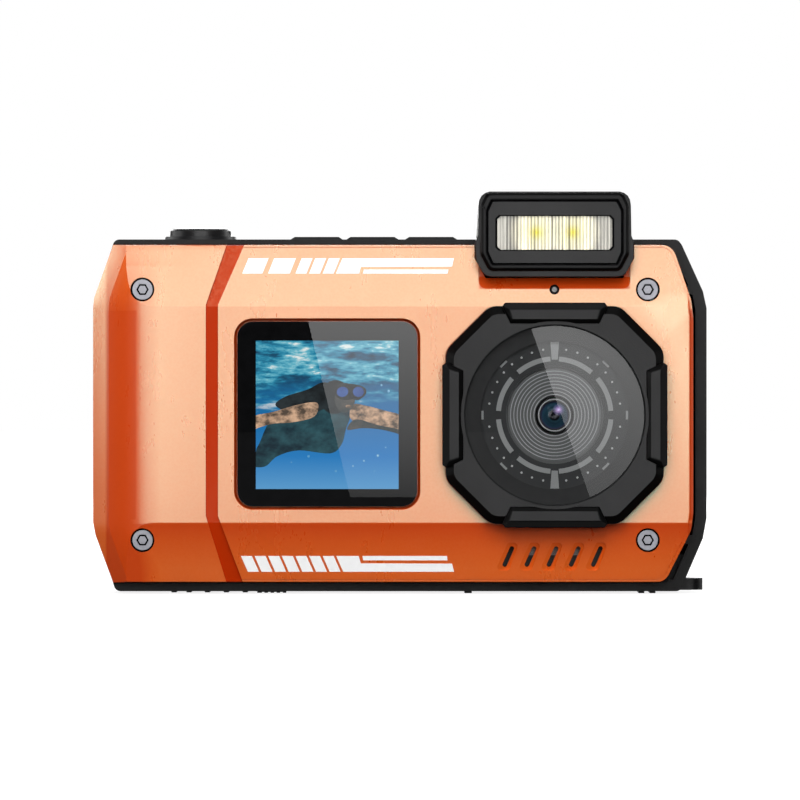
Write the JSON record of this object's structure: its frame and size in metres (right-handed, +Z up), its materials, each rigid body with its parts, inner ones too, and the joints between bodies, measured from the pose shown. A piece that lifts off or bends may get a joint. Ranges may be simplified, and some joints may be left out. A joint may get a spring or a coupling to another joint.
{
  "type": "action camera",
  "caption": "Rugged waterproof dual-screen action camera: folded orange shell, octagonal lens unit, front display, fill light, keys, latched battery door.",
  "frame": {"origin": "middle of the bounding box at the height of the feet, with the camera standing on its underside", "axes": "+X towards the viewer's right when facing the lens, -Y out of the lens, +Z up through the shutter button"},
  "size_m": [0.11, 0.0338, 0.0719],
  "materials": {
    "orange_shell": "satin",
    "accent_gloss": "gloss",
    "black_housing": "matte",
    "dark_trim": "satin",
    "key_plastic": "satin",
    "rubber": "matte",
    "seal_silicone": "satin",
    "screw_steel": "satin",
    "spring_steel": "satin",
    "brass": "satin",
    "clear_glass": "gloss",
    "black_glass": "gloss",
    "lens_glass": "gloss",
    "screen": "gloss",
    "light_lens": "gloss",
    "led_chip": "gloss",
    "reflector": "gloss",
    "dial_trim": "satin",
    "circuit_board": "satin",
    "battery_wrap": "satin"
  },
  "bodies": {
    "camera_body": {"front_cover": "orange_shell", "grip_cover": "orange_shell", "accent_strip": "accent_gloss", "front_seal": "rubber", "mid_frame": "black_housing", "rear_seal": "rubber", "rear_cover": "black_housing", "front_screws": "screw_steel", "rear_screws": "screw_steel", "front_glass": "black_glass", "front_lcd": "screen", "lens_bezel": "black_housing", "bezel_pads": "dark_trim", "lens_glass": "clear_glass", "dial_ring": "dial_trim", "ridged_cone": "dial_trim", "lens_barrel": "dark_trim", "lens_elements": "lens_glass", "lens_holder": "black_housing", "image_sensor": "screen", "sensor_board": "circuit_board", "flash_housing": "black_housing", "flash_bezel": "dark_trim", "flash_panel": "dark_trim", "flash_window": "light_lens", "flash_reflector": "reflector", "flash_leds": "led_chip", "flash_board": "circuit_board", "mic_port": "rubber", "speaker": "dark_trim", "main_board": "circuit_board", "battery": "battery_wrap", "battery_tray": "black_housing", "battery_contacts": "brass", "card_slot": "spring_steel", "memory_card": "dark_trim", "usb_port": "spring_steel", "door_hinge_pin": "spring_steel", "tripod_socket": "brass", "strap_lug": "black_housing", "shutter_collar": "dark_trim", "shutter_spring": "spring_steel", "key_switches": "circuit_board", "rear_glass": "black_glass", "rear_lcd": "screen"},
    "battery_door": {"battery_door": "black_housing", "door_seal": "seal_silicone"},
    "door_latch": {"door_latch": "dark_trim"},
    "shutter_button": {"shutter_button": "key_plastic"},
    "power_button": {"power_button": "key_plastic"},
    "mode_button": {"mode_button": "key_plastic"},
    "light_button": {"light_button": "key_plastic"},
    "four_way_pad": {"four_way_pad": "key_plastic"},
    "ok_key": {"ok_key": "key_plastic"},
    "zoom_in_key": {"zoom_in_key": "key_plastic"},
    "zoom_out_key": {"zoom_out_key": "key_plastic"},
    "menu_key": {"menu_key": "key_plastic"},
    "play_key": {"play_key": "key_plastic"}
  },
  "joints": [
    {"name": "shutter_press", "type": "slide", "parent": "camera_body", "child": "shutter_button", "axis": [0, 0, -1], "range_m": [0, 0.001], "stiffness_N_per_m": 900, "springref_m": -0.0003, "deforming": ["shutter_spring"]},
    {"name": "power_press", "type": "slide", "parent": "camera_body", "child": "power_button", "axis": [0, 0, -1], "range_m": [0, 0.0004], "stiffness_N_per_m": 1500, "springref_m": -0.0002},
    {"name": "mode_press", "type": "slide", "parent": "camera_body", "child": "mode_button", "axis": [0, 0, -1], "range_m": [0, 0.0004], "stiffness_N_per_m": 1500, "springref_m": -0.0002},
    {"name": "light_press", "type": "slide", "parent": "camera_body", "child": "light_button", "axis": [0, 0, -1], "range_m": [0, 0.0004], "stiffness_N_per_m": 1500, "springref_m": -0.0002},
    {"name": "four_way_pad_press", "type": "slide", "parent": "camera_body", "child": "four_way_pad", "axis": [0, -1, 0], "range_m": [0, 0.0004], "stiffness_N_per_m": 1500, "springref_m": -0.0002},
    {"name": "ok_press", "type": "slide", "parent": "camera_body", "child": "ok_key", "axis": [0, -1, 0], "range_m": [0, 0.0004], "stiffness_N_per_m": 1500, "springref_m": -0.0002},
    {"name": "zoom_in_press", "type": "slide", "parent": "camera_body", "child": "zoom_in_key", "axis": [0, -1, 0], "range_m": [0, 0.0004], "stiffness_N_per_m": 1500, "springref_m": -0.0002},
    {"name": "zoom_out_press", "type": "slide", "parent": "camera_body", "child": "zoom_out_key", "axis": [0, -1, 0], "range_m": [0, 0.0004], "stiffness_N_per_m": 1500, "springref_m": -0.0002},
    {"name": "menu_press", "type": "slide", "parent": "camera_body", "child": "menu_key", "axis": [0, -1, 0], "range_m": [0, 0.0004], "stiffness_N_per_m": 1500, "springref_m": -0.0002},
    {"name": "play_press", "type": "slide", "parent": "camera_body", "child": "play_key", "axis": [0, -1, 0], "range_m": [0, 0.0004], "stiffness_N_per_m": 1500, "springref_m": -0.0002},
    {"name": "door_swing", "type": "hinge", "parent": "camera_body", "child": "battery_door", "pos_m": [-0.0475, 0.0023, 0.0016], "axis": [0, 1, 0], "range_deg": [0, 100]},
    {"name": "latch_slide", "type": "slide", "parent": "battery_door", "child": "door_latch", "axis": [1, 0, 0], "range_m": [0, 0.0024]}
  ]
}
